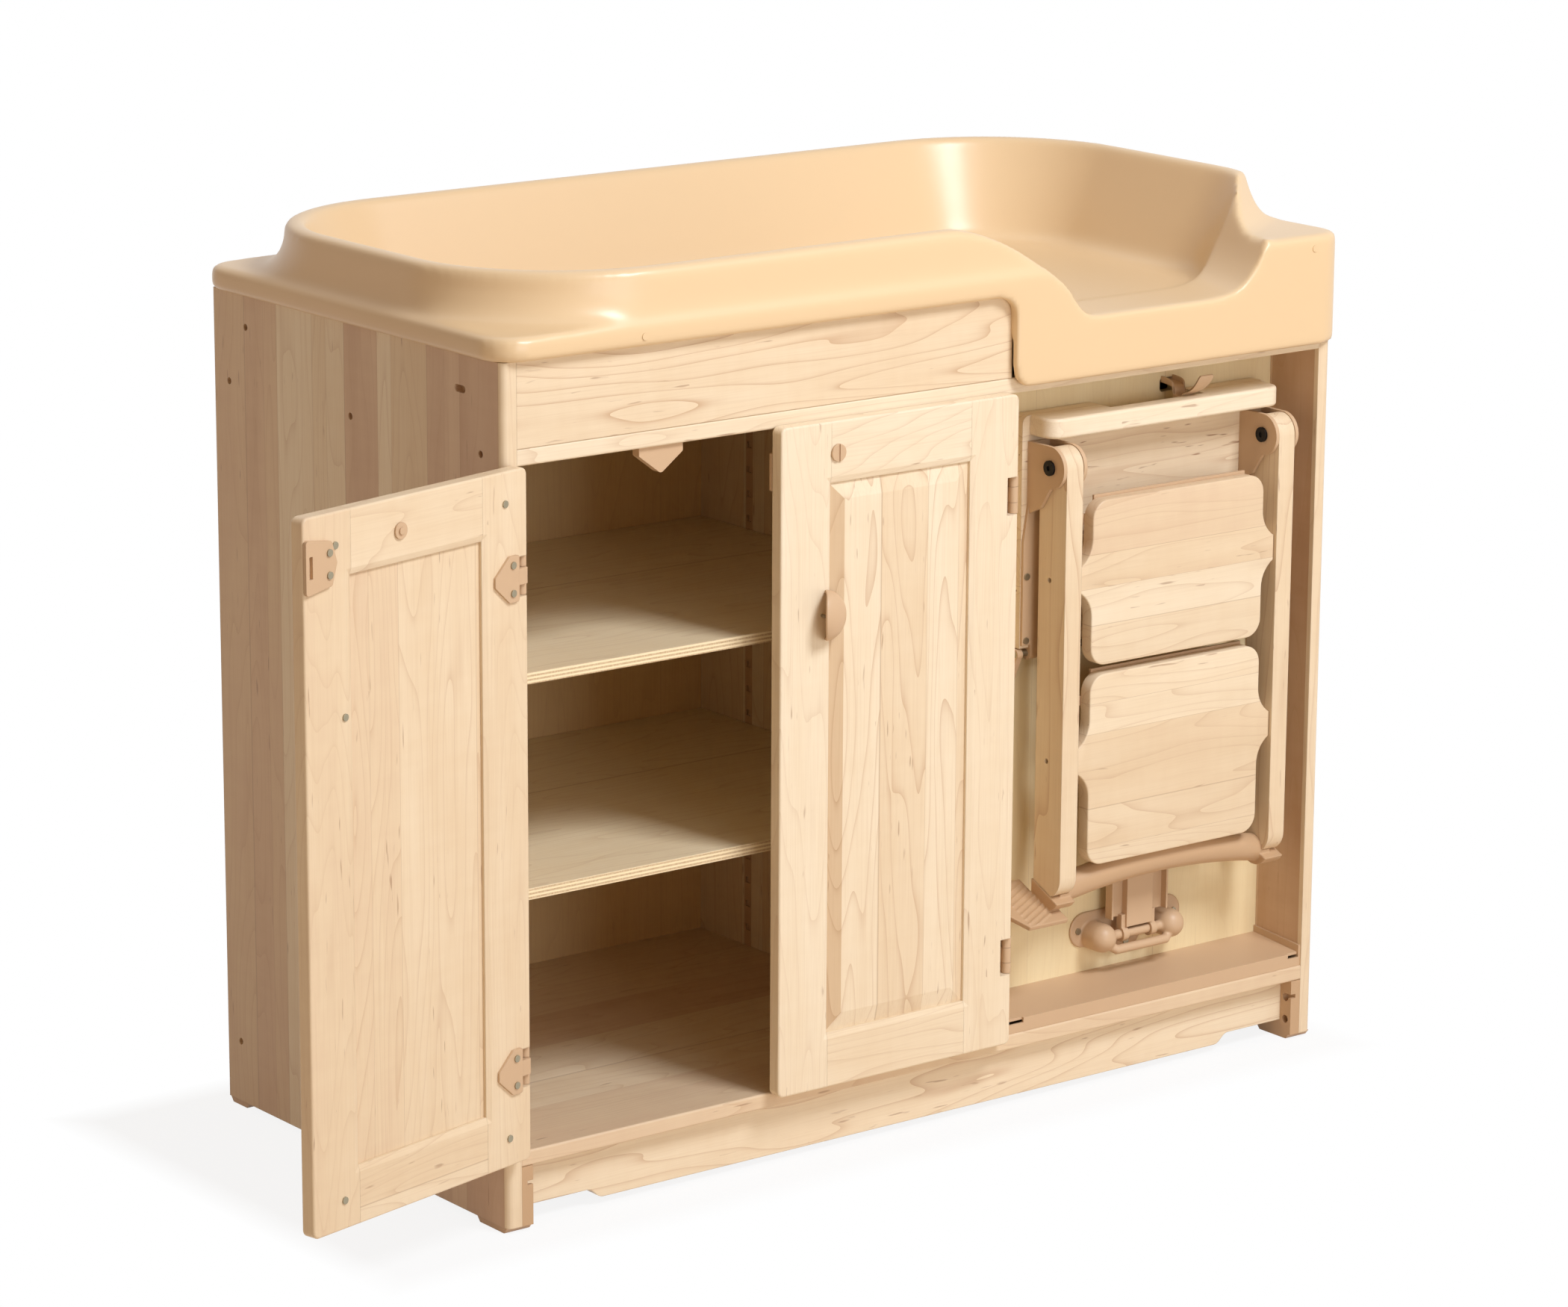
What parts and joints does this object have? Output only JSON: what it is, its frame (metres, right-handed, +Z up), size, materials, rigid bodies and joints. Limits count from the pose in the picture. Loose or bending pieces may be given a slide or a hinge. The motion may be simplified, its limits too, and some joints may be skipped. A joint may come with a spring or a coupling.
{
  "type": "changing table with stairs",
  "caption": "Wooden changing table with cupboard doors and shelves, a moulded tub on top, and a stair that folds out of a side bay.",
  "frame": {"origin": "on the floor, in the middle of the sole of the front left foot", "axes": "+X to the right along the front, +Y to the back, +Z up"},
  "size_m": [1.529, 0.6941, 1.06],
  "materials": {
    "maple": "clear satin lacquer",
    "ply": "clear satin lacquer",
    "tub": "fine matte texture",
    "tan_plastic": "smooth satin",
    "steel": "zinc plated",
    "dark_bolt": "black oxide"
  },
  "bodies": {
    "cabinet": {"apron_board": "maple", "back_panel": "ply", "bay_back_panel": "ply", "bay_floor_tray": "tan_plastic", "bottom_deck": "maple", "changing_tub": "tub", "divider_panel": "maple", "foot_bracket_left": "tan_plastic", "foot_bracket_right": "tan_plastic", "hinge_leaves_fixed": "tan_plastic", "hinge_pins": "steel", "hinge_rod": "steel", "lock_keepers": "tan_plastic", "rear_glides": "tan_plastic", "rod_ears": "tan_plastic", "shelf_clips": "tan_plastic", "shelf_lower": "maple", "shelf_standards": "tan_plastic", "shelf_upper": "maple", "side_panel_left": "maple", "side_panel_right": "maple", "strap_bracket": "tan_plastic", "strap_bracket_screws": "steel", "toe_kick_board": "maple", "top_board": "maple", "tub_plugs": "tub"},
    "door_left": {"door_left_stiles": "maple", "door_left_members": "maple", "door_left_panel": "maple", "door_left_hinge_leaves": "tan_plastic", "door_left_knob": "tan_plastic", "door_left_screws": "steel", "catch_plate": "tan_plastic"},
    "lock_left": {"door_left_lock": "tan_plastic"},
    "door_right": {"door_right_stiles": "maple", "door_right_members": "maple", "door_right_panel": "maple", "door_right_hinge_leaves": "tan_plastic", "door_right_knob": "tan_plastic", "door_right_screws": "steel", "catch_strip": "tan_plastic"},
    "lock_right": {"door_right_lock": "tan_plastic"},
    "platform": {"platform_board": "maple", "nosing_board": "maple", "stringer_bracket_left": "tan_plastic", "stringer_bracket_right": "tan_plastic", "bracket_screws": "steel", "stringer_bolts": "dark_bolt"},
    "stringers": {"stringer_left": "maple", "stringer_right": "maple", "foot_bar": "tan_plastic", "tread_pins": "steel"},
    "upper_tread": {"tread_upper": "maple", "tread_upper_backing": "tan_plastic"},
    "lower_tread": {"tread_lower": "maple", "tread_lower_backing": "tan_plastic"},
    "side_link": {"tread_link": "tan_plastic"},
    "strap": {"link_strap": "tan_plastic"},
    "latch": {"latch_hook": "tan_plastic"}
  },
  "joints": [
    {"name": "door_left_hinge", "type": "hinge", "parent": "cabinet", "child": "door_left", "pos_m": [-0.0007, -0.042, 0.4785], "axis": [0, 0, 1], "range_deg": [-12, 166.6]},
    {"name": "door_right_hinge", "type": "hinge", "parent": "cabinet", "child": "door_right", "pos_m": [0.683, -0.042, 0.4785], "axis": [0, 0, 1], "range_deg": [0, 100]},
    {"name": "lock_left_turn", "type": "hinge", "parent": "door_left", "child": "lock_left", "pos_m": [-0.19234, -0.08765, 0.83], "axis": [-0.2317, 0.9728, 0], "range_deg": [0, 90]},
    {"name": "lock_right_turn", "type": "hinge", "parent": "door_right", "child": "lock_right", "pos_m": [0.421, -0.042, 0.83], "axis": [0, -1, 0], "range_deg": [0, 90]},
    {"name": "platform_hinge", "type": "hinge", "parent": "cabinet", "child": "platform", "pos_m": [0.948, 0.0345, 0.533], "axis": [1, 0, 0], "range_deg": [0, 90]},
    {"name": "stringer_pivot", "type": "hinge", "parent": "platform", "child": "stringers", "pos_m": [0.948, -0.0105, 0.7626], "axis": [1, 0, 0], "range_deg": [-114.9, 0]},
    {"name": "tread_upper_pivot", "type": "hinge", "parent": "stringers", "child": "upper_tread", "pos_m": [0.948, -0.0065, 0.628], "axis": [1, 0, 0], "range_deg": [-65.3, 0]},
    {"name": "tread_lower_pivot", "type": "hinge", "parent": "stringers", "child": "lower_tread", "pos_m": [0.948, -0.0065, 0.41], "axis": [1, 0, 0], "range_deg": [-65.3, 0]},
    {"name": "side_link_pivot", "type": "hinge", "parent": "upper_tread", "child": "side_link", "pos_m": [0.808, -0.0035, 0.696], "axis": [1, 0, 0], "range_deg": [0, 65.3]},
    {"name": "strap_pivot", "type": "hinge", "parent": "cabinet", "child": "strap", "pos_m": [0.948, 0.0305, 0.162], "axis": [1, 0, 0], "range_deg": [0, 90.5]},
    {"name": "latch_lift", "type": "hinge", "parent": "cabinet", "child": "latch", "pos_m": [0.998, 0.0585, 0.828], "axis": [-1, 0, 0], "range_deg": [0, 11]}
  ],
  "couplings": [
    {"joint": "stringer_pivot", "follows": "platform_hinge", "ratio": -1.2756},
    {"joint": "tread_upper_pivot", "follows": "platform_hinge", "ratio": -0.7244},
    {"joint": "tread_lower_pivot", "follows": "platform_hinge", "ratio": -0.7244},
    {"joint": "side_link_pivot", "follows": "platform_hinge", "ratio": 0.7244},
    {"joint": "strap_pivot", "follows": "platform_hinge", "ratio": 1.0033}
  ]
}
